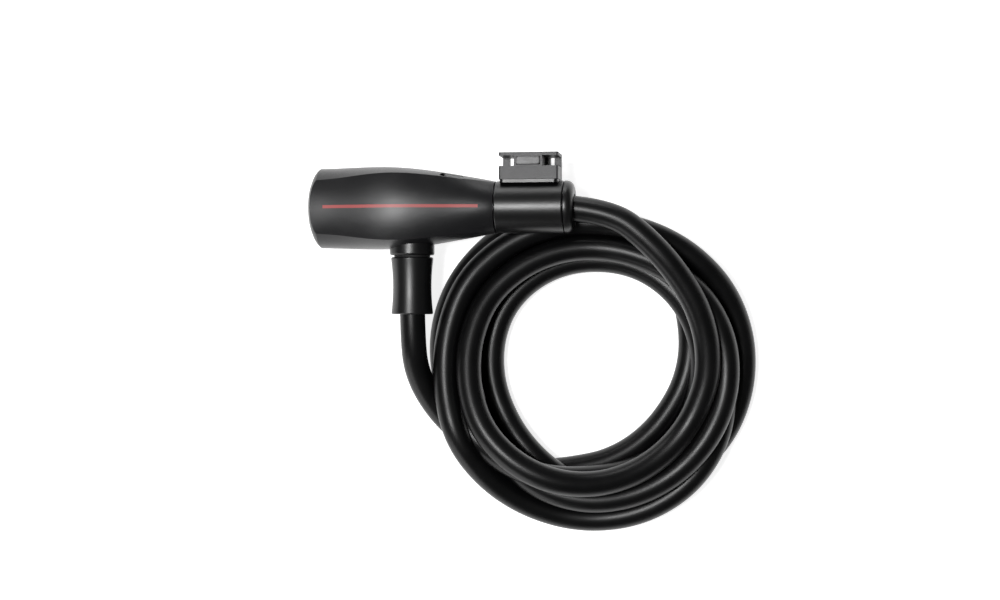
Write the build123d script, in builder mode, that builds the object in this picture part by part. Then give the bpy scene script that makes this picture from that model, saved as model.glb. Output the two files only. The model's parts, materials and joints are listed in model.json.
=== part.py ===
"""Key cable lock: head, plug, swivelling frame bracket and a coiled 10 mm cable.

All sizes are millimetres. The head is drawn in its own frame: X runs along the lock's axis from
the wide end to the cable, Y points to the bracket, and the plug goes in along +Y. The finished
pieces are then laid on the table, tilted so that the wide end rests and the neck lies on the coil.
"""

from build123d import *
from math import asin, cos, pi, radians, sin, tan
import os

os.makedirs("parts", exist_ok=True)

# ---- driving dimensions ------------------------------------------------------------------
FIT = 0.05  # radial running clearance of turning and sliding pieces
GAP = 0.3  # axial gap between the neck's pieces

CABLE_DIA = 10.0
ARC_SHARE = 0.45  # share of the shorter run that a corner of the cable takes up
TILT = 8.5  # degrees that the head leans up from the table towards its neck

# jacket: place along the axis, half height, crease height, crease depth, half depth
JACKET_SECTIONS = (
    (-6.5, 15.6, 9.8, 11.7, 13.2),
    (4.5, 15.9, 10.7, 12.4, 14.0),
    (15.5, 16.2, 11.8, 13.1, 14.8),
    (26.5, 16.3, 12.9, 13.8, 15.6),
    (37.5, 15.6, 12.9, 13.0, 15.2),
    (48.5, 14.1, 11.9, 10.9, 13.5),
    (59.5, 12.2, 10.7, 8.0, 11.75),
    (70.5, 10.1, 9.4, 4.2, 10.0),
)
NECK_S = 70.5  # where the jacket ends and the neck starts
END_BULGE = 4.6  # how far the domed wide end stands out before the keyhole plate
DOME_RISE = 3.5  # height of the dome over its edge
DOME_EDGE = 13.9  # distance from the axis where the dome passes into its rounded rim
RIM_S = 3.3  # place and distance from the axis where that rim ends
RIM_RADIUS = 16.9
STOCK = 24.0  # reach of the cut that leaves the dome

STRIPE_WIDTH = 1.2
STRIPE_DEPTH = 0.5
STRIPE_START = 4.2
STRIPE_END = 65.0
NOTCH_CENTRE = 54.2  # small oblong recess in the facet beside the bracket
NOTCH_SIDE = 11.9
NOTCH_LENGTH = 9.2
NOTCH_WIDTH = 1.3
NOTCH_FLOOR = 2.0
NOTCH_TURN = -9.8  # along the facet, which draws in there

CORE_RADIUS = 12.0
CORE_START = 2.0
CORE_TAPER = 10.0
CORE_END_RADIUS = 9.4

PLATE_RADIUS = 11.0
PLATE_THICK = 2.0
PLATE_BEVEL = 0.5

HOUSING_RADIUS = 8.6
HOUSING_END = 27.0
ROTOR_RADIUS = 6.4
ROTOR_FACE = -0.4
ROTOR_TAIL_RADIUS = 3.0
KEYWAY_WIDTH = 2.2
KEYWAY_HEIGHT = 8.4
KEYWAY_PAST = 2.0  # depth of the keyway beyond the last wafer
WAFER_COUNT = 6
WAFER_THICK = 0.8
WAFER_PITCH = 3.2
WAFER_FIRST = 6.0
WAFER_WIDTH = 6.4
WAFER_HEIGHT = 10.4
WAFER_GATE = 6.4
CLIP_THICK = 0.7
CLIP_RADIUS = 5.0

CAM_THICK = 1.8
CAM_RADIUS = 5.6
CAM_PIN_RADIUS = 1.2
CAM_PIN_LENGTH = 1.5
SLIDER_TRAVEL = 3.0
PIN_CLEARANCE = 0.3
TAB_WALL = 1.2

PLUG_S = 37.0  # where the plug's axis crosses the lock's axis
BOLT_DIA = 10.0
BOLT_TIP = 5.5
BOLT_GROOVE_DIA = 6.8
BOLT_POINT = 1.6
SLIDER_THICK = 2.6
SLIDER_PLAY = 0.3
SLIDER_WALL = 2.0
SPRING_WIRE = 0.5
SPRING_RADIUS = 1.9
SPRING_TURNS = 3.0
SPRING_S = 39.0
LATCH_RADIUS = 0.95
LATCH_TURNS = 4.0

BOSS_DIA = 17.6
BOSS_OUT = 18.7
BOSS_SEAT = 11.0
BOSS_LIP = 0.7
RING_DIA = 14.2
SLEEVE_START = 19.5
SLEEVE_END = 42.0
SLEEVE_TOP_DIA = 16.9
SLEEVE_WAIST_DIA = 15.2
SLEEVE_WAIST = 31.0
SLEEVE_END_DIA = 16.6
PLUG_FERRULE_DIA = 12.6
BOLT_ROOT = 29.0
LIP_THICK = 1.2  # inner lip of the sleeve, behind its ferrule
SLEEVE_ROUND = 0.6

FERRULE_DIA = 15.4
SOCKET_WALL = 1.8  # metal between the slider and the neck tube
FERRULE_SEAT = 86.0
CAP_SOCKET = 1.5  # how far the neck tube goes into the cap
CROSS_PIN_DIA = 2.5
CROSS_PIN_IN = 3.0  # from the start of the neck tube
CORE_PIN_S = 18.0
CORE_PIN_DIA = 2.5
PIN_BITE = 1.4  # how deep the pin enters the housing

CAP_LENGTH = 3.6
CAP_RADIUS = 10.2
CAP_ROUND = 3.0

COLLAR_WIDTH = 26.8
COLLAR_RADIUS = 10.2
LINER_THICK = 0.5
COLLAR_ROUND = 0.6
PAD_LENGTH = 22.8
PAD_WIDTH = 14.4
PAD_BASE = 9.2
PAD_TOP = 10.4
PAD_ROUND = 1.5

BLOCK_WIDTH = 23.2
BLOCK_DEPTH = 15.0
BLOCK_BASE = 10.5
BLOCK_TOP = 20.9
RAIL_THICK = 1.3
RAIL_NECK_WIDTH = 11.0
RAIL_NECK_HEIGHT = 4.0
RAIL_STOP = 3.0  # wall that closes the grooves at the back
SLIT_OUT = 8.1  # slits through that wall, beside the rail's neck
SLIT_WIDTH = 1.6
BLOCK_ROUND = 0.8
TONGUE_WIDTH = 9.0
TONGUE_HEIGHT = 3.0
TONGUE_LENGTH = 4.0
TONGUE_PROUD = 0.8
TONGUE_POCKET = 8.0
SCREW_DIA = 3.0
SCREW_HEAD_DIA = 6.0
SCREW_HEAD_THICK = 1.2
SCREW_LENGTH = 6.5

# the coil lies on the table round this place, in the finished part's frame
COIL_CENTRE = (60.3, -62.9)
COIL_OUTER = 67.0
COIL_SECTION = (  # radius and height of the outer shape of its turns
    (34.5, 0.0),
    (COIL_OUTER, 0.0),
    (COIL_OUTER, 10.5),
    (62.5, 16.0),
    (60.0, 21.0),
    (54.0, 26.0),
    (42.0, 27.0),
    (34.5, 18.0),
)
COIL_NOTCH_Y = -17.0  # beyond this line the turns lie low, under the neck
COIL_NOTCH_Z = 15.0

# cable from the neck and from the plug: angle round the coil's centre (clockwise from +X, seen
# from above), radius and height; the stretches inside the lock follow its own axes
NECK_RUN = 113.5  # place on the lock's axis where the cable starts to bend
NECK_ROUTE = (
    (296, 51.5, 33.0),
    (322, 46.2, 30.4),
    (342, 44.6, 27.6),
    (358, 44.0, 25.6),
)
LEAD_RUN = 50.0  # distance from the lock's axis where the plug's cable starts to bend
LEAD_ROUTE = (
    (176.0, 71.0, 13.0),
    (160.8, 64.8, 6.2),
    (144.6, 57.5, 5.0),
    (127.0, 50.4, 5.0),
)

# ---- values that follow from them --------------------------------------------------------
CAM_START = HOUSING_END + CLIP_THICK + 0.3
CAM_END = CAM_START + CAM_THICK
CAM_SEAT = CAM_START + CAM_THICK / 2
PIN_ORBIT = SLIDER_TRAVEL / 2 / sin(radians(45))
HOLE_RADIUS = BOLT_DIA / 2 + 4 * FIT
GROOVE_WIDTH = SLIDER_THICK + 2 * SLIDER_PLAY
SLIDER_START = CAM_END + 0.4
SLIDER_END = PLUG_S + HOLE_RADIUS + SLIDER_WALL
FERRULE_START = SLIDER_END + SOCKET_WALL
CROSS_PIN_S = FERRULE_START + CROSS_PIN_IN
CORE_SHOULDER = FERRULE_START
CORE_END = CORE_SHOULDER + CORE_TAPER
SLIDER_HIGH = HOLE_RADIUS + SLIDER_WALL
SLIDER_LOW = -SLIDER_TRAVEL - BOLT_GROOVE_DIA / 2 - SLIDER_WALL
SPRING_FOOT = -CORE_RADIUS + SPRING_WIRE / 2 + GAP
SPRING_TOP = SLIDER_LOW - SPRING_WIRE / 2 - FIT
PIN_Y = PIN_ORBIT * cos(radians(45))
TAB_HEIGHT = 2 * (CAM_PIN_RADIUS + PIN_CLEARANCE + TAB_WALL)
SLOT_LENGTH = PIN_ORBIT - PIN_Y + 2 * (CAM_PIN_RADIUS + PIN_CLEARANCE)
TAB_SIDE = PIN_ORBIT + CAM_PIN_RADIUS + PIN_CLEARANCE + TAB_WALL
STRIPE_REACH = 2 * max(section[-1] for section in JACKET_SECTIONS)
DOME_RADIUS = (DOME_EDGE**2 + DOME_RISE**2) / (2 * DOME_RISE)
DOME_TURN = asin(DOME_EDGE / DOME_RADIUS)
COLLAR_START = NECK_S + GAP
COLLAR_END = COLLAR_START + COLLAR_WIDTH
COLLAR_MID = (COLLAR_START + COLLAR_END) / 2
CAP_START = COLLAR_END + GAP
FERRULE_END = CAP_START + CAP_SOCKET
CAP_END = CAP_START + CAP_LENGTH
LINER_INNER = FERRULE_DIA / 2 + FIT
COLLAR_INNER = LINER_INNER + LINER_THICK
RAIL_Y = BLOCK_TOP - RAIL_THICK
NECK_Y = RAIL_Y - RAIL_NECK_HEIGHT
TONGUE_Y = (RAIL_Y + NECK_Y) / 2


def jacket_section(place, half_height, crease_y, crease_z, half_depth):
    """One cross-section of the jacket: four arcs that meet in crisp creases."""
    with BuildSketch(Plane.YZ.offset(place)) as section:
        with BuildLine():
            ThreePointArc((crease_y, -crease_z), (half_height, 0), (crease_y, crease_z))
            ThreePointArc((crease_y, crease_z), (0, half_depth), (-crease_y, crease_z))
            ThreePointArc((-crease_y, crease_z), (-half_height, 0), (-crease_y, -crease_z))
            ThreePointArc((-crease_y, -crease_z), (0, -half_depth), (crease_y, -crease_z))
        make_face()
    return section.sketch


def profile(*corners):
    """A closed outline of (along, radius) corners, to be turned round the lock's axis."""
    with BuildSketch(Plane.XY) as outline:
        with BuildLine():
            Polyline(*corners, close=True)
        make_face()
    return outline.sketch


# ---- head: outer shape, shared by the jacket, the stripe and their groove ----------------
with BuildPart() as shell:
    for section_sizes in JACKET_SECTIONS:
        add(jacket_section(*section_sizes))
    loft()
    with BuildSketch(Plane.XY):  # domed wide end
        with BuildLine():
            dome = ThreePointArc(
                (-END_BULGE, 0),
                (
                    -END_BULGE + DOME_RADIUS * (1 - cos(DOME_TURN / 2)),
                    DOME_RADIUS * sin(DOME_TURN / 2),
                ),
                (-END_BULGE + DOME_RISE, DOME_EDGE),
            )
            rim = TangentArc(dome @ 1, (RIM_S, RIM_RADIUS), tangent=dome % 1)
            Polyline(rim @ 1, (RIM_S, STOCK), (-STOCK, STOCK), (-STOCK, 0), dome @ 0)
        make_face()
    revolve(axis=Axis.X, mode=Mode.SUBTRACT)

with BuildPart() as red_stripe:
    add(shell.part)
    with Locations(((STRIPE_START + STRIPE_END) / 2, 0, STRIPE_REACH / 2)):
        Box(STRIPE_END - STRIPE_START, STRIPE_WIDTH, STRIPE_REACH, mode=Mode.INTERSECT)
    add(shell.part.moved(Location((0, 0, -STRIPE_DEPTH))), mode=Mode.SUBTRACT)
red_stripe.part.label = "red_stripe"

CORE_PROFILE = profile(
    (CORE_START, 0),
    (CORE_START, CORE_RADIUS),
    (CORE_SHOULDER, CORE_RADIUS),
    (CORE_END, CORE_END_RADIUS),
    (CORE_END, 0),
)
PLUG_PLANE = Plane(origin=(PLUG_S, 0, 0), x_dir=(1, 0, 0), z_dir=(0, -1, 0))

with BuildPart() as head_jacket:
    add(shell.part)
    revolve(CORE_PROFILE, axis=Axis.X, mode=Mode.SUBTRACT)
    with BuildSketch(Plane.YZ.offset(-END_BULGE - 1)):  # recess of the keyhole plate
        Circle(PLATE_RADIUS)
    extrude(amount=END_BULGE + 1 + CORE_START, mode=Mode.SUBTRACT)
    with BuildSketch(Plane.YZ.offset(CORE_END)):  # neck bore
        Circle(FERRULE_DIA / 2)
    extrude(amount=NECK_S - CORE_END + 1, mode=Mode.SUBTRACT)
    with BuildSketch(PLUG_PLANE.offset(BOSS_SEAT - 1)):  # hole for the boss
        Circle(BOSS_DIA / 2)
    extrude(amount=2 * BOSS_SEAT, mode=Mode.SUBTRACT)
    with BuildSketch(Plane.XY.offset(NOTCH_FLOOR)):  # oblong recess beside the bracket
        with Locations((NOTCH_CENTRE, NOTCH_SIDE)):
            SlotOverall(NOTCH_LENGTH, NOTCH_WIDTH, rotation=NOTCH_TURN)
    extrude(amount=NOTCH_SIDE, mode=Mode.SUBTRACT)
    add(red_stripe.part, mode=Mode.SUBTRACT)
head_jacket.part.label = "head_jacket"

# ---- head: metal core and key cylinder ---------------------------------------------------
with BuildPart() as lock_core:
    revolve(CORE_PROFILE, axis=Axis.X)
    with BuildSketch(Plane.YZ.offset(CORE_START)):  # bore for the key cylinder and its cam
        Circle(HOUSING_RADIUS)
    extrude(amount=SLIDER_START - CORE_START, mode=Mode.SUBTRACT)
    with BuildSketch(PLUG_PLANE.offset(-BOLT_TIP - 1)):  # blind bore for the bolt
        Circle(HOLE_RADIUS)
    extrude(amount=2 * CORE_RADIUS + BOLT_TIP, mode=Mode.SUBTRACT)
    with BuildSketch(PLUG_PLANE.offset(BOSS_SEAT)):  # flat seat for the boss
        Circle(BOSS_DIA / 2 + 1)
    extrude(amount=CORE_RADIUS, mode=Mode.SUBTRACT)
    with BuildSketch(Plane.YZ.offset(SLIDER_START - FIT)):  # slot for the slider, open above
        with BuildLine():
            Polyline(
                (-SLIDER_THICK / 2 - FIT, SLIDER_LOW - GAP),
                (SLIDER_THICK / 2 + FIT, SLIDER_LOW - GAP),
                (SLIDER_THICK / 2 + FIT, CORE_RADIUS + 1),
                (-SLIDER_THICK / 2 - FIT, CORE_RADIUS + 1),
                close=True,
            )
        make_face()
    extrude(amount=SLIDER_END - SLIDER_START + 2 * FIT, mode=Mode.SUBTRACT)
    with BuildSketch(Plane.XY.offset(SLIDER_LOW)):  # pocket of the slider's spring
        with Locations((SPRING_S, 0)):
            Circle(SPRING_RADIUS + SPRING_WIRE / 2 + 4 * FIT)
    extrude(amount=-CORE_RADIUS, mode=Mode.SUBTRACT)
    with BuildSketch(Plane.YZ.offset(SLIDER_START - FIT)):  # room for the slider's tab
        with Locations((TAB_SIDE / 2, 0)):
            Rectangle(TAB_SIDE + 2 * GAP, TAB_HEIGHT + SLIDER_TRAVEL + 2 * GAP)
    extrude(amount=CAM_PIN_LENGTH + 2 * GAP, mode=Mode.SUBTRACT)
    with BuildSketch(Plane.YZ.offset(FERRULE_START)):  # socket of the neck tube
        Circle(FERRULE_DIA / 2)
    extrude(amount=CORE_END - FERRULE_START, mode=Mode.SUBTRACT)
    with BuildSketch(Plane.XY.offset(-CORE_RADIUS)):  # cross pin through core and neck tube
        with Locations((CROSS_PIN_S, 0)):
            Circle(CROSS_PIN_DIA / 2)
    extrude(amount=2 * CORE_RADIUS, mode=Mode.SUBTRACT)
    with BuildSketch(Plane.XY):  # pin that holds the cylinder
        with Locations((CORE_PIN_S, 0)):
            Circle(CORE_PIN_DIA / 2)
    extrude(amount=CORE_RADIUS + 1, mode=Mode.SUBTRACT)
lock_core.part.label = "lock_core"

with BuildPart() as cylinder_housing:
    with BuildSketch(Plane.YZ.offset(CORE_START)):
        Circle(HOUSING_RADIUS)
        Circle(ROTOR_RADIUS + FIT, mode=Mode.SUBTRACT)
    extrude(amount=HOUSING_END - CORE_START)
    with BuildSketch(Plane.XY.offset(HOUSING_RADIUS - PIN_BITE)):
        with Locations((CORE_PIN_S, 0)):
            Circle(CORE_PIN_DIA / 2)
    extrude(amount=2 * PIN_BITE, mode=Mode.SUBTRACT)
cylinder_housing.part.label = "cylinder_housing"

with BuildPart() as core_pin:
    with BuildSketch(Plane.XY.offset(HOUSING_RADIUS - PIN_BITE)):
        with Locations((CORE_PIN_S, 0)):
            Circle(CORE_PIN_DIA / 2)
    extrude(amount=CORE_RADIUS - HOUSING_RADIUS + PIN_BITE - 4 * FIT)
core_pin.part.label = "core_pin"

with BuildPart() as face_plate:
    with BuildSketch(Plane.YZ):
        Circle(PLATE_RADIUS)
        Circle(ROTOR_RADIUS + FIT, mode=Mode.SUBTRACT)
    extrude(amount=PLATE_THICK)
    chamfer(face_plate.edges().filter_by(GeomType.CIRCLE).group_by(Axis.X)[0], PLATE_BEVEL)
face_plate.part.label = "face_plate"

WAFER_PLACES = [WAFER_FIRST + WAFER_PITCH * number for number in range(WAFER_COUNT)]
with BuildPart() as key_rotor:
    with BuildSketch(Plane.YZ.offset(ROTOR_FACE)):
        Circle(ROTOR_RADIUS)
    extrude(amount=HOUSING_END - ROTOR_FACE)
    with BuildSketch(Plane.YZ.offset(HOUSING_END)):
        Circle(ROTOR_TAIL_RADIUS)
    extrude(amount=CAM_SEAT - HOUSING_END)
    with BuildSketch(Plane.YZ.offset(ROTOR_FACE)):
        Rectangle(KEYWAY_WIDTH, KEYWAY_HEIGHT)
    extrude(amount=WAFER_PLACES[-1] + KEYWAY_PAST - ROTOR_FACE, mode=Mode.SUBTRACT)
    for place in WAFER_PLACES:
        with BuildSketch(Plane.YZ.offset(place)):
            Rectangle(WAFER_WIDTH + 2 * FIT, WAFER_HEIGHT + 2 * FIT)
        extrude(amount=WAFER_THICK + 2 * FIT, mode=Mode.SUBTRACT)
key_rotor.part.label = "key_rotor"

with BuildPart() as wafer_set:
    for place in WAFER_PLACES:
        with BuildSketch(Plane.YZ.offset(place + FIT)):
            Rectangle(WAFER_WIDTH, WAFER_HEIGHT)
            Rectangle(KEYWAY_WIDTH, WAFER_GATE, mode=Mode.SUBTRACT)
        extrude(amount=WAFER_THICK)
wafer_set.part.label = "wafer_set"

with BuildPart() as rotor_clip:
    with BuildSketch(Plane.YZ.offset(HOUSING_END + FIT)):
        Circle(CLIP_RADIUS)
        Circle(ROTOR_TAIL_RADIUS, mode=Mode.SUBTRACT)
        with Locations((0, -CLIP_RADIUS)):
            Rectangle(ROTOR_TAIL_RADIUS, CLIP_RADIUS, mode=Mode.SUBTRACT)
    extrude(amount=CLIP_THICK)
rotor_clip.part.label = "rotor_clip"

with BuildPart() as drive_cam:
    with BuildSketch(Plane.YZ.offset(CAM_START)):
        Circle(CAM_RADIUS)
    extrude(amount=CAM_THICK)
    with BuildSketch(Plane.YZ.offset(CAM_START)):
        Circle(ROTOR_TAIL_RADIUS)
    extrude(amount=CAM_SEAT - CAM_START, mode=Mode.SUBTRACT)
    with BuildSketch(Plane.YZ.offset(CAM_SEAT)):
        with Locations((PIN_Y, -PIN_Y)):
            Circle(CAM_PIN_RADIUS)
    extrude(amount=CAM_END - CAM_SEAT + CAM_PIN_LENGTH)
drive_cam.part.label = "drive_cam"

with BuildPart() as locking_slider:
    with BuildSketch(Plane.XZ.offset(-SLIDER_THICK / 2)):
        with BuildLine():
            Polyline(
                (SLIDER_START, SLIDER_LOW),
                (SLIDER_END, SLIDER_LOW),
                (SLIDER_END, SLIDER_HIGH),
                (SLIDER_START, SLIDER_HIGH),
                close=True,
            )
        make_face()
        with Locations((PLUG_S, 0)):
            Circle(HOLE_RADIUS, mode=Mode.SUBTRACT)
        with Locations((PLUG_S, -SLIDER_TRAVEL)):
            Circle(BOLT_GROOVE_DIA / 2 + 2 * FIT, mode=Mode.SUBTRACT)
    extrude(amount=SLIDER_THICK)
    with BuildSketch(Plane.YZ.offset(SLIDER_START)):
        with Locations((TAB_SIDE / 2, -SLIDER_TRAVEL / 2)):
            Rectangle(TAB_SIDE, TAB_HEIGHT)
    extrude(amount=CAM_PIN_LENGTH)
    with BuildSketch(Plane.YZ.offset(SLIDER_START)):
        with Locations(((PIN_Y + PIN_ORBIT) / 2, -SLIDER_TRAVEL / 2)):
            SlotOverall(SLOT_LENGTH, 2 * (CAM_PIN_RADIUS + PIN_CLEARANCE))
    extrude(amount=CAM_PIN_LENGTH, mode=Mode.SUBTRACT)
locking_slider.part.label = "locking_slider"

with BuildPart() as slider_spring:
    with BuildLine():
        Helix(
            pitch=(SPRING_TOP - SPRING_FOOT) / SPRING_TURNS,
            height=SPRING_TOP - SPRING_FOOT,
            radius=SPRING_RADIUS,
            center=(SPRING_S, 0, SPRING_FOOT),
        )
    with BuildSketch(Plane(origin=(SPRING_S + SPRING_RADIUS, 0, SPRING_FOOT), z_dir=(0, 1, 0))):
        Circle(SPRING_WIRE / 2)
    sweep(is_frenet=True)
slider_spring.part.label = "slider_spring"

# ---- head: boss, neck tube and end cap ---------------------------------------------------
with BuildPart() as boss_socket:
    with BuildSketch(PLUG_PLANE.offset(BOSS_SEAT)):
        Circle(BOSS_DIA / 2)
        Circle(HOLE_RADIUS, mode=Mode.SUBTRACT)
    extrude(amount=BOSS_OUT - BOSS_SEAT)
    rim = boss_socket.faces().sort_by(Axis.Y)[0]
    fillet(rim.edges().sort_by(SortBy.RADIUS)[-1], BOSS_LIP)
boss_socket.part.label = "boss_socket"

with BuildPart() as cable_ferrule:
    with BuildSketch(Plane.YZ.offset(FERRULE_START)):
        Circle(FERRULE_DIA / 2)
    extrude(amount=FERRULE_END - FERRULE_START)
    with BuildSketch(Plane.YZ.offset(FERRULE_SEAT)):
        Circle(CABLE_DIA / 2)
    extrude(amount=FERRULE_END - FERRULE_SEAT, mode=Mode.SUBTRACT)
    with BuildSketch(Plane.XY.offset(-FERRULE_DIA)):
        with Locations((CROSS_PIN_S, 0)):
            Circle(CROSS_PIN_DIA / 2)
    extrude(amount=2 * FERRULE_DIA, mode=Mode.SUBTRACT)
cable_ferrule.part.label = "cable_ferrule"

with BuildPart() as ferrule_pin:
    with BuildSketch(Plane.XY.offset(-CORE_END_RADIUS - 1)):
        with Locations((CROSS_PIN_S, 0)):
            Circle(CROSS_PIN_DIA / 2)
    extrude(amount=2 * CORE_END_RADIUS + 2)
ferrule_pin.part.label = "ferrule_pin"

with BuildPart() as end_cap:
    with BuildSketch(Plane.YZ.offset(CAP_START)):
        Circle(CAP_RADIUS)
    extrude(amount=CAP_LENGTH)
    fillet(end_cap.edges().sort_by(Axis.X)[-1], CAP_ROUND)
    with BuildSketch(Plane.YZ.offset(CAP_START)):
        Circle(FERRULE_DIA / 2)
    extrude(amount=CAP_SOCKET, mode=Mode.SUBTRACT)
    with BuildSketch(Plane.YZ.offset(CAP_START)):
        Circle(CABLE_DIA / 2)
    extrude(amount=CAP_LENGTH, mode=Mode.SUBTRACT)
end_cap.part.label = "end_cap"

# ---- plug --------------------------------------------------------------------------------
with BuildPart() as locking_bolt:
    with BuildSketch(PLUG_PLANE.offset(-BOLT_TIP)):
        Circle(BOLT_DIA / 2)
    extrude(amount=BOLT_ROOT + BOLT_TIP)
    chamfer(locking_bolt.edges().group_by(Axis.Y)[-1], BOLT_POINT)
    with BuildSketch(PLUG_PLANE.offset(-GROOVE_WIDTH / 2)):
        Circle(BOLT_DIA)
        Circle(BOLT_GROOVE_DIA / 2, mode=Mode.SUBTRACT)
    extrude(amount=GROOVE_WIDTH, mode=Mode.SUBTRACT)
locking_bolt.part.label = "locking_bolt"

with BuildPart() as plug_ring:
    with BuildSketch(PLUG_PLANE.offset(BOSS_OUT + FIT)):
        Circle(RING_DIA / 2)
        Circle(BOLT_DIA / 2, mode=Mode.SUBTRACT)
    extrude(amount=SLEEVE_START - BOSS_OUT - FIT)
plug_ring.part.label = "plug_ring"

with BuildPart() as plug_ferrule:
    with BuildSketch(PLUG_PLANE.offset(SLEEVE_START)):
        Circle(PLUG_FERRULE_DIA / 2)
        Circle(BOLT_DIA / 2, mode=Mode.SUBTRACT)
    extrude(amount=SLEEVE_END - LIP_THICK - SLEEVE_START)
plug_ferrule.part.label = "plug_ferrule"

with BuildPart() as plug_sleeve:
    with BuildSketch(Plane.XY):
        with BuildLine():
            Polyline(
                (PLUG_S + SLEEVE_END_DIA / 2, -SLEEVE_END),
                (PLUG_S + CABLE_DIA / 2, -SLEEVE_END),
                (PLUG_S + CABLE_DIA / 2, -SLEEVE_END + LIP_THICK),
                (PLUG_S + PLUG_FERRULE_DIA / 2, -SLEEVE_END + LIP_THICK),
                (PLUG_S + PLUG_FERRULE_DIA / 2, -SLEEVE_START),
                (PLUG_S + SLEEVE_TOP_DIA / 2, -SLEEVE_START),
            )
            Spline(
                (PLUG_S + SLEEVE_TOP_DIA / 2, -SLEEVE_START),
                (PLUG_S + SLEEVE_WAIST_DIA / 2, -SLEEVE_WAIST),
                (PLUG_S + SLEEVE_END_DIA / 2, -SLEEVE_END),
            )
        make_face()
    revolve(axis=Axis((PLUG_S, 0, 0), (0, 1, 0)))
    ends = plug_sleeve.edges().filter_by(GeomType.CIRCLE).sort_by(SortBy.RADIUS)
    fillet(ends[-2:], SLEEVE_ROUND)
plug_sleeve.part.label = "plug_sleeve"

# ---- bracket on the neck -----------------------------------------------------------------
with BuildPart() as collar_liner:
    with BuildSketch(Plane.YZ.offset(COLLAR_START)):
        Circle(COLLAR_INNER)
        Circle(LINER_INNER, mode=Mode.SUBTRACT)
    extrude(amount=COLLAR_WIDTH)
collar_liner.part.label = "collar_liner"

SCREW_PLANE = Plane(origin=(COLLAR_MID, 0, 0), x_dir=(1, 0, 0), z_dir=(0, 1, 0))
with BuildPart() as mount_collar:
    with BuildSketch(Plane.YZ.offset(COLLAR_START)):
        Circle(COLLAR_RADIUS)
    extrude(amount=COLLAR_WIDTH)
    fillet(mount_collar.edges().filter_by(GeomType.CIRCLE), COLLAR_ROUND)
    with BuildSketch(SCREW_PLANE.offset(PAD_BASE)):  # plate that the block turns on
        RectangleRounded(PAD_LENGTH, PAD_WIDTH, PAD_ROUND)
    extrude(amount=PAD_TOP - PAD_BASE)
    with BuildSketch(Plane.YZ.offset(COLLAR_START)):
        Circle(COLLAR_INNER)
    extrude(amount=COLLAR_WIDTH, mode=Mode.SUBTRACT)
    with BuildSketch(SCREW_PLANE):
        Circle(SCREW_DIA / 2)
    extrude(amount=PAD_TOP + 1, mode=Mode.SUBTRACT)
    with BuildSketch(SCREW_PLANE):  # seat of the screw's head
        Circle(SCREW_HEAD_DIA / 2)
    extrude(amount=COLLAR_INNER + SCREW_HEAD_THICK, mode=Mode.SUBTRACT)
mount_collar.part.label = "mount_collar"

with BuildPart() as swivel_screw:
    with BuildSketch(SCREW_PLANE.offset(COLLAR_INNER)):
        Circle(SCREW_HEAD_DIA / 2)
    extrude(amount=SCREW_HEAD_THICK)
    with BuildSketch(SCREW_PLANE.offset(COLLAR_INNER)):
        Circle(SCREW_DIA / 2)
    extrude(amount=SCREW_LENGTH)
swivel_screw.part.label = "swivel_screw"

with BuildPart() as clip_block:
    with BuildSketch(SCREW_PLANE.offset(BLOCK_BASE)):
        RectangleRounded(BLOCK_WIDTH, BLOCK_DEPTH, BLOCK_ROUND)
    extrude(amount=BLOCK_TOP - BLOCK_BASE)
    for side in (-1, 1):  # grooves of the T rail, and slits through the wall behind them
        with BuildSketch(Plane.XY.offset(RAIL_STOP - BLOCK_DEPTH / 2)):
            with Locations(
                (
                    COLLAR_MID + side * (BLOCK_WIDTH + RAIL_NECK_WIDTH) / 4,
                    TONGUE_Y,
                )
            ):
                Rectangle((BLOCK_WIDTH - RAIL_NECK_WIDTH) / 2, RAIL_NECK_HEIGHT)
        extrude(amount=BLOCK_DEPTH, mode=Mode.SUBTRACT)
        with BuildSketch(Plane.XY.offset(-BLOCK_DEPTH)):
            with Locations((COLLAR_MID + side * SLIT_OUT, TONGUE_Y)):
                Rectangle(SLIT_WIDTH, RAIL_NECK_HEIGHT)
        extrude(amount=BLOCK_DEPTH, mode=Mode.SUBTRACT)
    with BuildSketch(Plane.XY.offset(BLOCK_DEPTH / 2)):  # pocket of the tongue
        with Locations((COLLAR_MID, TONGUE_Y)):
            Rectangle(TONGUE_WIDTH + 4 * FIT, TONGUE_HEIGHT + 4 * FIT)
    extrude(amount=-TONGUE_POCKET, mode=Mode.SUBTRACT)
    with BuildSketch(SCREW_PLANE):
        Circle(SCREW_DIA / 2 + FIT)
    extrude(amount=COLLAR_INNER + SCREW_LENGTH + GAP, mode=Mode.SUBTRACT)
clip_block.part.label = "clip_block"

TONGUE_BACK = BLOCK_DEPTH / 2 + TONGUE_PROUD - TONGUE_LENGTH
with BuildPart() as latch_tongue:
    with BuildSketch(Plane.XY.offset(TONGUE_BACK)):
        with Locations((COLLAR_MID, TONGUE_Y)):
            RectangleRounded(TONGUE_WIDTH, TONGUE_HEIGHT, TONGUE_HEIGHT / 4)
    extrude(amount=TONGUE_LENGTH)
    fillet(latch_tongue.edges().group_by(Axis.Z)[-1], TONGUE_HEIGHT / 8)
latch_tongue.part.label = "latch_tongue"

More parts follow.
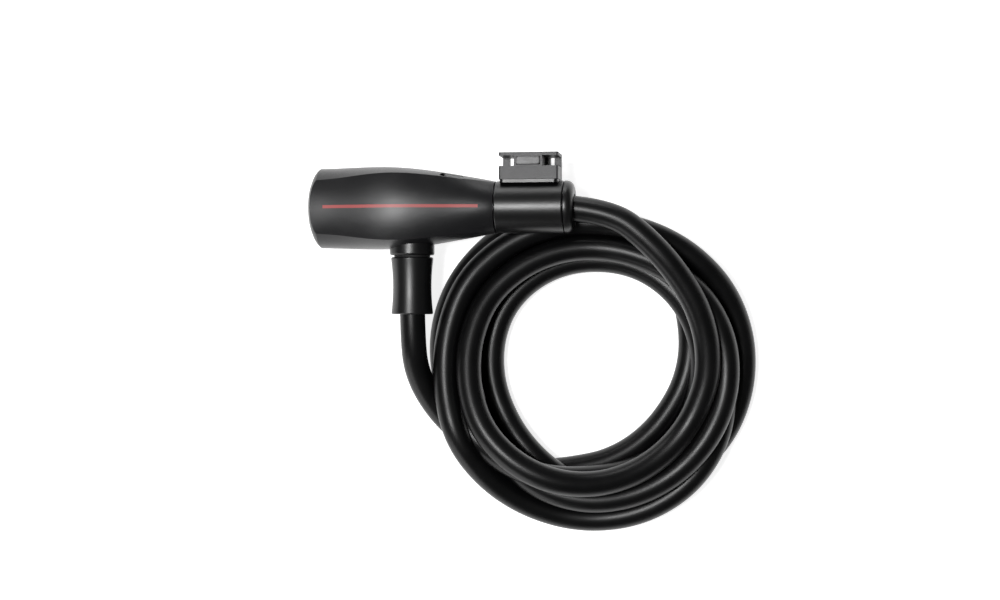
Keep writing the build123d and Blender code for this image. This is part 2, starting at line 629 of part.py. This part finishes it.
TONGUE_GAP = TONGUE_BACK - BLOCK_DEPTH / 2 + TONGUE_POCKET
with BuildPart() as latch_spring:
    with BuildLine():
        Helix(
            pitch=(TONGUE_GAP - SPRING_WIRE - 2 * FIT) / LATCH_TURNS,
            height=TONGUE_GAP - SPRING_WIRE - 2 * FIT,
            radius=LATCH_RADIUS,
            center=(COLLAR_MID, TONGUE_Y, TONGUE_BACK - TONGUE_GAP + SPRING_WIRE / 2 + FIT),
        )
    with BuildSketch(
        Plane(
            origin=(
                COLLAR_MID + LATCH_RADIUS,
                TONGUE_Y,
                TONGUE_BACK - TONGUE_GAP + SPRING_WIRE / 2 + FIT,
            ),
            z_dir=(0, 1, 0),
        )
    ):
        Circle(SPRING_WIRE / 2)
    sweep(is_frenet=True)
latch_spring.part.label = "latch_spring"

# ---- lay the lock on the table -----------------------------------------------------------
HELD = [
    head_jacket, red_stripe, face_plate, lock_core, cylinder_housing, key_rotor, wafer_set,
    rotor_clip, drive_cam, locking_slider, slider_spring, core_pin, boss_socket, cable_ferrule,
    ferrule_pin, end_cap, collar_liner, mount_collar, swivel_screw, clip_block, latch_tongue,
    latch_spring,
]
PLUG = [locking_bolt, plug_ring, plug_ferrule, plug_sleeve]

lean = Location((0, 0, 0), (0, -TILT, 0))
box = Compound(children=[piece.part.moved(lean) for piece in HELD]).bounding_box()
middle = box.center()
row = Location((-middle.X, -middle.Y, -box.min.Z)) * lean
for piece in HELD + PLUG:
    label = piece.part.label
    piece.part = piece.part.moved(row)
    piece.part.label = label


# ---- cable -------------------------------------------------------------------------------
def on_lock(along, out):
    """A place on the lock: this far along its axis and this far out towards the plug."""
    return (row * Location((along, -out, 0))).position


def on_route(angle, radius, height):
    """A place round the coil's centre, clockwise from +X as seen from above."""
    turn = radians(angle)
    across, along = COIL_CENTRE
    return Vector(across + radius * cos(turn), along - radius * sin(turn), height)


def cable_along(points, label):
    """A round cable through the points, with every corner as wide as its two runs allow."""
    runs = [end - start for start, end in zip(points, points[1:])]
    radii = []
    for before, after in zip(runs, runs[1:]):
        shorter = min(before.length, after.length)
        radii.append(ARC_SHARE * shorter / tan(radians(before.get_angle(after) / 2)))
    with BuildPart() as cable:
        with BuildLine() as path:
            FilletPolyline(*points, radius=radii)
        with BuildSketch(Plane(origin=points[0], z_dir=runs[0])):
            Circle(CABLE_DIA / 2)
        sweep()
    cable.part.label = label
    length = sum(edge.length for edge in path.edges())
    section = pi * (CABLE_DIA / 2) ** 2
    print(label, "radii", [round(radius, 1) for radius in radii])
    print(label, "length", round(length, 1), "volume share", cable.part.volume / section / length)
    return cable


cable_head_end = cable_along(
    [on_lock(FERRULE_SEAT, 0), on_lock(NECK_RUN, 0)] + [on_route(*place) for place in NECK_ROUTE],
    "cable_head_end",
)
cable_plug_end = cable_along(
    [on_lock(PLUG_S, BOLT_ROOT), on_lock(PLUG_S, LEAD_RUN)]
    + [on_route(*place) for place in LEAD_ROUTE],
    "cable_plug_end",
)

with BuildPart() as cable_coil:
    with BuildSketch(Plane(origin=(*COIL_CENTRE, 0), x_dir=(1, 0, 0), z_dir=(0, -1, 0))):
        with BuildLine():
            Polyline(*COIL_SECTION, close=True)
        make_face()
    revolve(axis=Axis((*COIL_CENTRE, 0), (0, 0, 1)))
    with BuildSketch(Plane.XY.offset(COIL_NOTCH_Z)):  # the turns lie low under the neck
        with Locations((COIL_CENTRE[0], COIL_NOTCH_Y + COIL_OUTER)):
            Rectangle(4 * COIL_OUTER, 2 * COIL_OUTER)
    extrude(amount=COIL_OUTER, mode=Mode.SUBTRACT)
cable_coil.part.label = "cable_coil"

for piece in HELD + PLUG + [cable_head_end, cable_plug_end, cable_coil]:
    export_step(piece.part, f"parts/{piece.part.label}.step")
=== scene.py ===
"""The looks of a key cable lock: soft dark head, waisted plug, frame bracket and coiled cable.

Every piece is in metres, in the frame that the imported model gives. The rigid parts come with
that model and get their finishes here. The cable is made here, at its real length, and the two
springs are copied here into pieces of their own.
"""

import json
import logging
import math
from collections.abc import Sequence
from dataclasses import dataclass
from enum import Enum

import bpy
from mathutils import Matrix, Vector

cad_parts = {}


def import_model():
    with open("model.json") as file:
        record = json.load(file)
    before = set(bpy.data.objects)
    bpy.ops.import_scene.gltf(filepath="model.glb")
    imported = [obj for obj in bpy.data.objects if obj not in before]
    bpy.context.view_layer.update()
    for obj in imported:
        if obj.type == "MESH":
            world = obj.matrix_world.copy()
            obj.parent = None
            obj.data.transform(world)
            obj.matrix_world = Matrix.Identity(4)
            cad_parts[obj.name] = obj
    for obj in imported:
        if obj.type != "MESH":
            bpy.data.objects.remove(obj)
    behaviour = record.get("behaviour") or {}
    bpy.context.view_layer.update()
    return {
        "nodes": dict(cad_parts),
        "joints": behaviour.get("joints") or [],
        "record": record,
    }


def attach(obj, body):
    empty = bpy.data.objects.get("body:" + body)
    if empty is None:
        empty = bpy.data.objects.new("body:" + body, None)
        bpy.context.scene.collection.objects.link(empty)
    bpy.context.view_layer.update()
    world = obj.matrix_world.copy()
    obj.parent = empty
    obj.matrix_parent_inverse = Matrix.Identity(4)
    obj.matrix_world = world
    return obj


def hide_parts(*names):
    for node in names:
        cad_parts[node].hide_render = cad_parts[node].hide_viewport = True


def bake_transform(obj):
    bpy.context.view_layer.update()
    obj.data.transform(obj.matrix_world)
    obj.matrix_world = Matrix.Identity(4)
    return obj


log = logging.getLogger("cable_lock")

MM = 0.001
COIL_CENTRE = (60.3, -62.9)  # where the coil lies on the table, in millimetres

Colour = tuple[float, float, float]
Mark = tuple[float, float, float]  # degrees, mm from the coil's centre, mm above the table

# The shared surface effect.
GRAIN_DETAIL = 3.0
GRAIN_ROUGHNESS = 0.6
MOTTLE_SCALE = 120.0
MOTTLE_DETAIL = 4.0
MOTTLE_RANGE = (0.42, 0.72)  # the noise at which mottling begins and is full
HAIR_TURN = (0.3, 0.5, 0.45)  # radians, so that the scratches follow no axis
HAIR_SCALE = (240.0, 2600.0, 700.0)
HAIR_DETAIL = 2.0
HAIR_RANGE = (0.6, 0.68)  # the noise at which a scratch begins and is full
NOISE_MIDDLE = 0.5
GROUP_INPUTS = (
    ("Base", "NodeSocketColor", (0.05, 0.05, 0.05, 1)),
    ("Rubbed", "NodeSocketColor", (0.1, 0.1, 0.1, 1)),
    ("Grain Scale", "NodeSocketFloat", 4000.0),
    ("Mottle", "NodeSocketFloat", 0.3),
    ("Scratch", "NodeSocketFloat", 0.0),
    ("Rough", "NodeSocketFloat", 0.5),
    ("Rough Spread", "NodeSocketFloat", 0.1),
)
GROUP_OUTPUTS = (
    ("Color", "NodeSocketColor"),
    ("Roughness", "NodeSocketFloat"),
    ("Height", "NodeSocketFloat"),
)


class Turning(Enum):
    """Which way the coil runs, seen from above."""

    CLOCKWISE = -1.0
    ANTICLOCKWISE = 1.0


@dataclass(frozen=True)
class LockFrame:
    """The lock's own leaning frame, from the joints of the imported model."""

    origin: Vector
    along: Vector
    rise: Vector

    @classmethod
    def from_joints(cls, joints: Sequence[dict]) -> "LockFrame":
        """Read the frame from the key's turn and the slider's travel.

        Args:
            joints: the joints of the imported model.

        Returns:
            The frame, with its origin on the axis at the wide end.
        """
        named = {joint["name"]: joint for joint in joints}
        turn, travel = named["key_turn"], named["slider_travel"]
        return cls(Vector(turn["pos_m"]), Vector(turn["axis"]), Vector(travel["axis"]))

    def place(self, along: float, out: float = 0.0, up: float = 0.0) -> Vector:
        """A place on the lock.

        Args:
            along: millimetres from the wide end, along the axis.
            out: millimetres from the axis towards the bracket.
            up: millimetres from the axis upwards.

        Returns:
            The place in the row frame, in metres.
        """
        side = Vector((0, out * MM, 0))
        return self.origin + self.along * along * MM + self.rise * up * MM + side


def add_object(name: str, data: bpy.types.ID) -> bpy.types.Object:
    """Put a new object into the scene.

    Args:
        name: the object's name.
        data: its mesh, curve, camera or lamp.

    Returns:
        The object.
    """
    made = bpy.data.objects.new(name, data)
    bpy.context.scene.collection.objects.link(made)
    return made


# ---- finishes ------------------------------------------------------------------------------
def set_inputs(node: bpy.types.Node, values: dict[str, float | tuple]) -> None:
    """Set a node's unlinked inputs.

    Args:
        node: the shader node or node group.
        values: the value of each input by its name.
    """
    for name, value in values.items():
        node.inputs[name].default_value = value


def surface_group() -> bpy.types.NodeTree:
    """Build the shared effect: fine grain, slow mottling, fine scratches and rubbed places.

    Returns:
        A group with inputs Base, Rubbed, Grain Scale, Mottle, Scratch, Rough and Rough Spread,
        and outputs Color, Roughness and Height.
    """
    tree = bpy.data.node_groups.new("moulded_surface", "ShaderNodeTree")
    for name, kind, value in GROUP_INPUTS:
        socket = tree.interface.new_socket(name=name, in_out="INPUT", socket_type=kind)
        socket.default_value = value
    for name, kind in GROUP_OUTPUTS:
        tree.interface.new_socket(name=name, in_out="OUTPUT", socket_type=kind)
    nodes, links = tree.nodes, tree.links
    given = nodes.new("NodeGroupInput")
    out = nodes.new("NodeGroupOutput")
    place = nodes.new("ShaderNodeTexCoord")

    grain = nodes.new("ShaderNodeTexNoise")
    set_inputs(grain, {"Detail": GRAIN_DETAIL, "Roughness": GRAIN_ROUGHNESS})
    links.new(place.outputs["Object"], grain.inputs["Vector"])
    links.new(given.outputs["Grain Scale"], grain.inputs["Scale"])

    slow = nodes.new("ShaderNodeTexNoise")
    set_inputs(slow, {"Scale": MOTTLE_SCALE, "Detail": MOTTLE_DETAIL})
    links.new(place.outputs["Object"], slow.inputs["Vector"])
    patches = nodes.new("ShaderNodeMapRange")
    set_inputs(patches, {"From Min": MOTTLE_RANGE[0], "From Max": MOTTLE_RANGE[1]})
    links.new(slow.outputs["Fac"], patches.inputs["Value"])
    share = nodes.new("ShaderNodeMath")
    share.operation = "MULTIPLY"
    links.new(patches.outputs["Result"], share.inputs[0])
    links.new(given.outputs["Mottle"], share.inputs[1])

    stretched = nodes.new("ShaderNodeMapping")
    set_inputs(stretched, {"Rotation": HAIR_TURN, "Scale": HAIR_SCALE})
    links.new(place.outputs["Object"], stretched.inputs["Vector"])
    hairs = nodes.new("ShaderNodeTexNoise")
    set_inputs(hairs, {"Scale": 1.0, "Detail": HAIR_DETAIL})
    links.new(stretched.outputs["Vector"], hairs.inputs["Vector"])
    thin = nodes.new("ShaderNodeMapRange")
    set_inputs(thin, {"From Min": HAIR_RANGE[0], "From Max": HAIR_RANGE[1]})
    links.new(hairs.outputs["Fac"], thin.inputs["Value"])
    worn = nodes.new("ShaderNodeMath")
    worn.operation = "MULTIPLY_ADD"
    worn.use_clamp = True
    links.new(thin.outputs["Result"], worn.inputs[0])
    links.new(given.outputs["Scratch"], worn.inputs[1])
    links.new(share.outputs[0], worn.inputs[2])
    blend = nodes.new("ShaderNodeMix")
    blend.data_type = "RGBA"
    links.new(worn.outputs[0], blend.inputs["Factor"])
    links.new(given.outputs["Base"], blend.inputs["A"])
    links.new(given.outputs["Rubbed"], blend.inputs["B"])
    links.new(blend.outputs["Result"], out.inputs["Color"])

    swing = nodes.new("ShaderNodeMath")
    swing.operation = "SUBTRACT"
    swing.inputs[1].default_value = NOISE_MIDDLE
    links.new(slow.outputs["Fac"], swing.inputs[0])
    rough = nodes.new("ShaderNodeMath")
    rough.operation = "MULTIPLY_ADD"
    links.new(swing.outputs[0], rough.inputs[0])
    links.new(given.outputs["Rough Spread"], rough.inputs[1])
    links.new(given.outputs["Rough"], rough.inputs[2])
    links.new(rough.outputs[0], out.inputs["Roughness"])
    links.new(grain.outputs["Fac"], out.inputs["Height"])
    return tree


@dataclass(frozen=True)
class Finish:
    """One finish of the lock's surfaces: a material slot's, or a lighter one with painted light
    for a single piece.
    """

    name: str
    base: Colour
    rubbed: Colour
    rough: float
    rough_spread: float = 0.12
    grain_scale: float = 4000.0
    grain_height: float = 0.00004  # metres
    mottle: float = 0.35
    scratch: float = 0.0
    metallic: float = 0.0
    coat: float = 0.0
    coat_rough: float = 0.2
    specular: float = 0.5

    def material(self, group: bpy.types.NodeTree) -> bpy.types.Material:
        """Make the Blender material.

        Args:
            group: the shared surface effect.

        Returns:
            The material, named after the finish.
        """
        made = bpy.data.materials.new(self.name)
        made.use_nodes = True
        nodes, links = made.node_tree.nodes, made.node_tree.links
        shader = nodes["Principled BSDF"]
        effect = nodes.new("ShaderNodeGroup")
        effect.node_tree = group
        set_inputs(effect, {
            "Base": (*self.base, 1),
            "Rubbed": (*self.rubbed, 1),
            "Grain Scale": self.grain_scale,
            "Mottle": self.mottle,
            "Scratch": self.scratch,
            "Rough": self.rough,
            "Rough Spread": self.rough_spread,
        })
        bump = nodes.new("ShaderNodeBump")
        set_inputs(bump, {"Distance": self.grain_height, "Strength": 1.0})
        links.new(effect.outputs["Color"], shader.inputs["Base Color"])
        links.new(effect.outputs["Roughness"], shader.inputs["Roughness"])
        links.new(effect.outputs["Height"], bump.inputs["Height"])
        links.new(bump.outputs["Normal"], shader.inputs["Normal"])
        set_inputs(shader, {
            "Metallic": self.metallic,
            "Coat Weight": self.coat,
            "Coat Roughness": self.coat_rough,
            "Specular IOR Level": self.specular,
        })
        made.diffuse_color = (*self.base, 1)
        return made


# In order: name, colour, rubbed colour, roughness, its spread, grain scale and grain height.
FINISHES = (
    Finish("jacket", (0.0085, 0.0085, 0.0094), (0.012, 0.012, 0.013), 0.35, 0.1, 5200.0, 0.00003,
           specular=0.4),
    Finish("stripe", (0.36, 0.035, 0.032), (0.29, 0.03, 0.028), 0.42, 0.1, 3000.0, 0.00001),
    Finish("black_plastic", (0.0035, 0.0035, 0.0038), (0.0065, 0.0065, 0.007), 0.34, 0.1, 4200.0,
           0.00002),
    Finish("block_plastic", (0.03, 0.03, 0.032), (0.06, 0.06, 0.062), 0.42, 0.14, 2600.0, 0.00009,
           mottle=0.6, scratch=0.5),
    # Painted light: the latch tongue gets the block's plastic made five times lighter, as if lit
    # by the lamps; its mottle and scratches are wear.
    Finish("tab_painted_light", (0.15, 0.15, 0.152), (0.26, 0.26, 0.262), 0.4, 0.16, 2000.0, 0.00014,
           mottle=0.8, scratch=0.6),
    Finish("steel", (0.52, 0.52, 0.54), (0.42, 0.42, 0.44), 0.34, 0.2, 2500.0, 0.00001,
           metallic=1.0, scratch=0.4),
    Finish("zinc", (0.5, 0.5, 0.52), (0.4, 0.4, 0.42), 0.45, 0.2, 1500.0, 0.00002, metallic=1.0),
    Finish("brass", (0.62, 0.46, 0.2), (0.5, 0.36, 0.15), 0.32, 0.2, 2500.0, 0.00001,
           metallic=1.0, scratch=0.3),
    Finish("chrome", (0.72, 0.72, 0.74), (0.6, 0.6, 0.62), 0.12, 0.08, 1500.0, 0.000004,
           metallic=1.0, scratch=0.2),
    Finish("spring", (0.42, 0.42, 0.45), (0.3, 0.3, 0.32), 0.3, 0.15, 2500.0, 0.00001,
           metallic=1.0),
    Finish("rubber", (0.005, 0.005, 0.005), (0.009, 0.009, 0.009), 0.7, 0.1, 3000.0, 0.00004),
    Finish("cable", (0.002, 0.002, 0.0022), (0.004, 0.004, 0.0045), 0.36, 0.12, 2600.0, 0.00003,
           coat=0.04, coat_rough=0.3, specular=0.3),
)


# ---- cable ---------------------------------------------------------------------------------
@dataclass
class Cable:
    """The one 10 mm cable: out of the neck, round the coil and back to the plug."""

    frame: LockFrame
    diameter: float = 10.0
    roundness: int = 10  # Blender's bevel resolution
    cuts: int = 12  # parts in which each stretch of the spline is drawn
    order: int = 3  # the spline's order
    turning: Turning = Turning.CLOCKWISE
    step: float = 20.0  # degrees between the points of a turn
    seat: float = 86.0  # where the cable starts inside the neck tube, along the axis
    cap_end: float = 101.5  # where it comes out of the end cap
    neck_run: float = 113.5  # its last point on the axis
    neck_route: tuple[Mark, ...] = (  # from the neck to the coil
        (296, 51.5, 33.0), (322, 46.2, 30.4), (342, 44.6, 27.6), (358, 44.0, 25.6),
    )
    turns: tuple[Mark, ...] = (
        (372, 43.2, 24.0), (390, 43.2, 22.0), (420, 44.0, 22.5), (450, 46.3, 27.0),
        (480, 48.7, 31.0), (510, 51.0, 26.5), (540, 50.0, 20.2), (570, 50.0, 16.0),
        (600, 47.5, 14.5), (630, 46.0, 14.5), (660, 46.2, 19.5), (690, 49.5, 22.0),
        (720, 52.3, 19.5), (750, 52.4, 21.5), (780, 53.5, 17.5), (810, 54.3, 16.5),
        (840, 53.4, 14.0), (870, 50.6, 8.5), (900, 51.0, 5.0), (960, 51.6, 5.0),
        (990, 51.0, 5.0), (1020, 50.2, 5.0), (1050, 51.5, 5.0), (1080, 51.0, 7.0),
        (1110, 57.0, 13.5), (1140, 62.2, 10.5), (1170, 63.0, 5.0), (1200, 62.2, 7.5),
        (1230, 61.8, 21.5), (1260, 58.5, 15.8), (1290, 60.2, 14.5), (1320, 58.0, 14.0),
        (1350, 55.7, 16.0), (1380, 55.8, 22.0), (1410, 59.2, 12.5), (1440, 61.0, 5.0),
        (1470, 60.0, 5.0), (1500, 55.7, 5.0), (1530, 52.2, 7.0), (1560, 43.8, 13.0),
        (1590, 41.0, 6.0), (1620, 40.7, 5.0), (1650, 42.0, 5.0), (1680, 41.8, 5.0),
        (1710, 41.5, 5.5), (1740, 42.6, 11.0), (1770, 42.9, 14.5), (1800, 43.2, 13.0),
        (1830, 44.6, 8.0), (1860, 45.6, 8.5), (1890, 44.8, 15.5), (1920, 49.4, 21.5),
        (1950, 56.3, 16.0), (1966, 59.0, 12.5), (1982, 61.0, 7.0), (2002, 63.2, 5.0),
        (2040, 62.3, 5.0), (2070, 60.4, 6.5), (2100, 53.0, 13.5), (2130, 43.2, 6.5),
        (2160, 38.4, 5.0), (2190, 36.0, 5.0), (2220, 36.8, 5.0), (2250, 41.0, 5.0),
        (2280, 48.5, 5.0), (2290, 51.5, 5.0),
    )
    plug_at: float = 37.0  # the plug's place along the lock's axis
    bolt_root: float = 29.0  # where the lead ends inside the plug, from the axis
    lead_run: float = 50.0  # how far from the axis the lead is straight
    lead_route: tuple[Mark, ...] = (  # from the plug to the coil's end
        (176.0, 71.0, 13.0), (160.8, 64.8, 6.2), (144.6, 57.5, 5.0), (127.0, 50.4, 5.0),
    )

    def on_coil(self, angle: float, radius: float, height: float) -> Vector:
        """A place round the coil's centre.

        Args:
            angle: degrees from +X, the way the coil turns.
            radius: millimetres from the coil's centre.
            height: millimetres above the table.

        Returns:
            The place in the row frame, in metres.
        """
        turn = math.radians(angle) * self.turning.value
        across, along = COIL_CENTRE
        flat = (across + radius * math.cos(turn), along + radius * math.sin(turn))
        return Vector((*flat, height)) * MM

    def mark_at(self, angle: float) -> tuple[float, float]:
        """Radius and height of the coil at an angle, between its marks.

        Args:
            angle: degrees along the whole winding.

        Returns:
            The radius and the height in millimetres.
        """
        for before, after in zip(self.turns, self.turns[1:]):
            if before[0] <= angle <= after[0]:
                share = (angle - before[0]) / (after[0] - before[0])
                return tuple(a + share * (b - a) for a, b in zip(before[1:], after[1:]))
        return self.turns[-1][1:]

    def winding(self) -> list[Vector]:
        """The coil's points, a little outside the turns because the spline cuts inside them.

        Returns:
            The points in the row frame, in metres.
        """
        points = []
        stretch = 1 / math.cos(math.radians(self.step / 2))
        angle = self.turns[0][0]
        while angle <= self.turns[-1][0]:
            radius, height = self.mark_at(angle)
            points.append(self.on_coil(angle, radius * stretch, height))
            angle += self.step
        return points

    def tube(self, name: str, points: Sequence[Vector]) -> bpy.types.Object:
        """A round cable along one smooth spline.

        Args:
            name: the piece's name.
            points: the points that the spline follows, in metres.

        Returns:
            The curve object.
        """
        curve = bpy.data.curves.new(name, "CURVE")
        curve.dimensions = "3D"
        curve.bevel_depth = self.diameter / 2 * MM
        curve.bevel_resolution = self.roundness
        curve.resolution_u = self.cuts
        curve.use_fill_caps = True
        spline = curve.splines.new("NURBS")
        spline.points.add(len(points) - 1)
        for point, place in zip(spline.points, points):
            point.co = (*place, 1)
        spline.order_u = self.order
        spline.use_endpoint_u = True
        return add_object(name, curve)

    def length(self, piece: bpy.types.Object) -> tuple[float, list[Vector]]:
        """Length of a tube's centreline, and the centreline itself.

        Args:
            piece: the tube.

        Returns:
            The length in metres, and the points of the smooth line.
        """
        bare = piece.data.copy()
        bare.bevel_depth = 0.0
        holder = bpy.data.objects.new("line", bare)
        mesh = bpy.data.meshes.new_from_object(holder)
        line = [vertex.co.copy() for vertex in mesh.vertices]
        bpy.data.objects.remove(holder)
        bpy.data.meshes.remove(mesh)
        return sum((b - a).length for a, b in zip(line, line[1:])), line

    def build(self, finish: bpy.types.Material, plug_nodes: Sequence[bpy.types.Object]) -> None:
        """Lay the cable and its lead.

        Args:
            finish: the cable's material.
            plug_nodes: the pieces of the plug; not used.
        """
        neck = [self.frame.place(self.seat), self.frame.place(self.neck_run)]
        neck += [self.on_coil(*place) for place in self.neck_route]
        main = self.tube("cable_main", neck + self.winding())
        main.data.materials.append(finish)
        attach(main, "lock")
        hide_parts("cable_head_end", "cable_coil")
        long, _ = self.length(main)
        self.frame.place(self.cap_end)

        start = self.on_coil(*self.lead_route[-1])
        route = [start] + [self.on_coil(*place) for place in self.lead_route[-2::-1]]
        route += [
            self.frame.place(self.plug_at, -self.lead_run),
            self.frame.place(self.plug_at, -self.bolt_root),
        ]
        curve = self.tube("cable_lead", route)
        short, line = self.length(curve)
        mesh = bpy.data.meshes.new_from_object(curve)
        mesh.name = "cable_lead"
        bpy.data.objects.remove(curve)
        lead = add_object("cable_lead", mesh)
        mesh.materials.clear()
        mesh.materials.append(finish)
        mesh.shade_smooth()
        self.frame.place(self.plug_at, -self.lead_run)
        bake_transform(lead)
        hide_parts("cable_plug_end")
        log.info("cable: %.3f m in the coil, %.3f m in the lead", long, short)


# ---- camera, light and floor ---------------------------------------------------------------
@dataclass
class Studio:
    """A pale floor, soft lamps and a camera that looks straight down."""

    camera_place: tuple[float, float, float] = (0.0226, -0.0375, 0.650)
    lens: float = 57.4
    sensor_width: float = 36.0
    nearest: float = 0.01  # the camera shows nothing nearer than this, in metres
    floor_shade: float = 0.8
    floor_rough: float = 0.7
    floor_size: float = 40.0
    backdrop_glow: float = 0.8  # what the camera and reflections see of the floor besides light
    surroundings: float = 0.08
    lamp_aim: tuple[float, float, float] = (0.03, -0.03, 0.01)  # what all lamps face
    lamps: tuple = (  # name, place, width and height, power
        ("key", (-0.27, 0.0, 0.98), (0.2, 0.22), 8.0),
        ("back", (-0.2, 0.8, 0.2), (0.9, 0.3), 3.4),
        ("front", (-0.5, -0.7, 0.16), (0.6, 0.3), 1.5),
    )

    def camera(self) -> None:
        """Put the camera over the lock."""
        data = bpy.data.cameras.new("camera")
        data.lens = self.lens
        data.sensor_width = self.sensor_width
        data.clip_start = self.nearest
        held = add_object("camera", data)
        held.location = self.camera_place
        bpy.context.scene.camera = held

    def lamp(self, name: str, place: tuple, size: tuple, power: float) -> None:
        """Add one soft lamp that faces the lock.

        Args:
            name: the lamp's name.
            place: where it hangs, in metres.
            size: its width and height in metres.
            power: its power in watts.
        """
        data = bpy.data.lights.new(name, "AREA")
        data.shape = "RECTANGLE"
        data.size, data.size_y = size
        data.energy = power
        hung = add_object(name, data)
        hung.location = place
        away = Vector(place) - Vector(self.lamp_aim)
        hung.rotation_euler = away.to_track_quat("Z", "Y").to_euler()

    def seen(self, tree: bpy.types.NodeTree) -> bpy.types.NodeSocket:
        """The backdrop's glow for camera, glossy and transmission rays, and none for others.

        Args:
            tree: the node tree of the floor.

        Returns:
            The socket with the strength.
        """
        path = tree.nodes.new("ShaderNodeLightPath")
        picked = path.outputs["Is Camera Ray"]
        for kind in ("Is Glossy Ray", "Is Transmission Ray"):
            either = tree.nodes.new("ShaderNodeMath")
            either.operation = "MAXIMUM"
            tree.links.new(picked, either.inputs[0])
            tree.links.new(path.outputs[kind], either.inputs[1])
            picked = either.outputs[0]
        spread = tree.nodes.new("ShaderNodeMapRange")
        set_inputs(spread, {"To Min": 0.0, "To Max": self.backdrop_glow})
        tree.links.new(picked, spread.inputs["Value"])
        return spread.outputs["Result"]

    def floor(self) -> None:
        """Lay the pale floor, which looks white to the camera and keeps the shadow."""
        made = bpy.data.materials.new("floor")
        made.use_nodes = True
        nodes, links = made.node_tree.nodes, made.node_tree.links
        shader = nodes["Principled BSDF"]
        set_inputs(shader, {
            "Base Color": (self.floor_shade,) * 3 + (1,),
            "Roughness": self.floor_rough,
            "Specular IOR Level": 0.0,
        })
        glow = nodes.new("ShaderNodeEmission")
        links.new(self.seen(made.node_tree), glow.inputs["Strength"])
        both = nodes.new("ShaderNodeAddShader")
        links.new(shader.outputs["BSDF"], both.inputs[0])
        links.new(glow.outputs["Emission"], both.inputs[1])
        links.new(both.outputs["Shader"], nodes["Material Output"].inputs["Surface"])
        bpy.ops.mesh.primitive_plane_add(size=self.floor_size, location=(0, 0, 0))
        plane = bpy.context.active_object
        plane.name = "floor"
        plane.data.materials.append(made)

    def world(self) -> None:
        """Even, pale surroundings."""
        world = bpy.data.worlds.new("surroundings")
        world.use_nodes = True
        background = world.node_tree.nodes["Background"]
        set_inputs(background, {"Color": (1, 1, 1, 1), "Strength": self.surroundings})
        bpy.context.scene.world = world

    def build(self) -> None:
        """Set up the whole studio."""
        self.camera()
        self.floor()
        self.world()
        for lamp in self.lamps:
            self.lamp(*lamp)
        bpy.context.scene.view_settings.view_transform = "Standard"


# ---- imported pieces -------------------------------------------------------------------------
def dress(frame: dict, finishes: dict[str, bpy.types.Material]) -> None:
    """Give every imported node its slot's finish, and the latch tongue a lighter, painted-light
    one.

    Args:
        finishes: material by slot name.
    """
    slots = {entry["node"]: entry["material_slot"] for entry in frame["record"]["subparts"]}
    for name, node in frame["nodes"].items():
        node.data.materials.clear()
        # the latch tongue gets the lighter finish, with painted light
        finish = "tab_painted_light" if name == "latch_tongue" else slots[name]
        node.data.materials.append(finishes[finish])
        log.info("dressed %s in %s", name, finish)


class SpringPlace(Enum):
    """The two springs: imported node, name here, the body it stands on and the one it pushes."""

    LATCH = ("latch_spring", "tongue_spring", "block", "latch")
    SLIDER = ("slider_spring", "bolt_spring", "lock", "slider")


def press_springs(nodes: dict[str, bpy.types.Object]) -> None:
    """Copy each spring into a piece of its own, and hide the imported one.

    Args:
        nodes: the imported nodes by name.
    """
    for place in SpringPlace:
        packed, name, still, moved = place.value
        mesh = nodes[packed].data.copy()
        mesh.transform(nodes[packed].matrix_world)
        spring = add_object(name, mesh)
        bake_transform(spring)
        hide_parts(packed)


def main() -> None:
    """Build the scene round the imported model."""
    logging.basicConfig(level=logging.INFO, format="%(name)s: %(message)s")
    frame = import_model()
    Studio().build()
    group = surface_group()
    finishes = {finish.name: finish.material(group) for finish in FINISHES}
    dress(frame, finishes)
    lock = LockFrame.from_joints(frame["joints"])
    press_springs(frame["nodes"])
    plug = [frame["nodes"][name] for name in frame["record"]["behaviour"]["bodies"]["plug"]]
    Cable(lock).build(finishes["cable"], plug)
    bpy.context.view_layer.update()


if __name__ == "__main__":
    main()
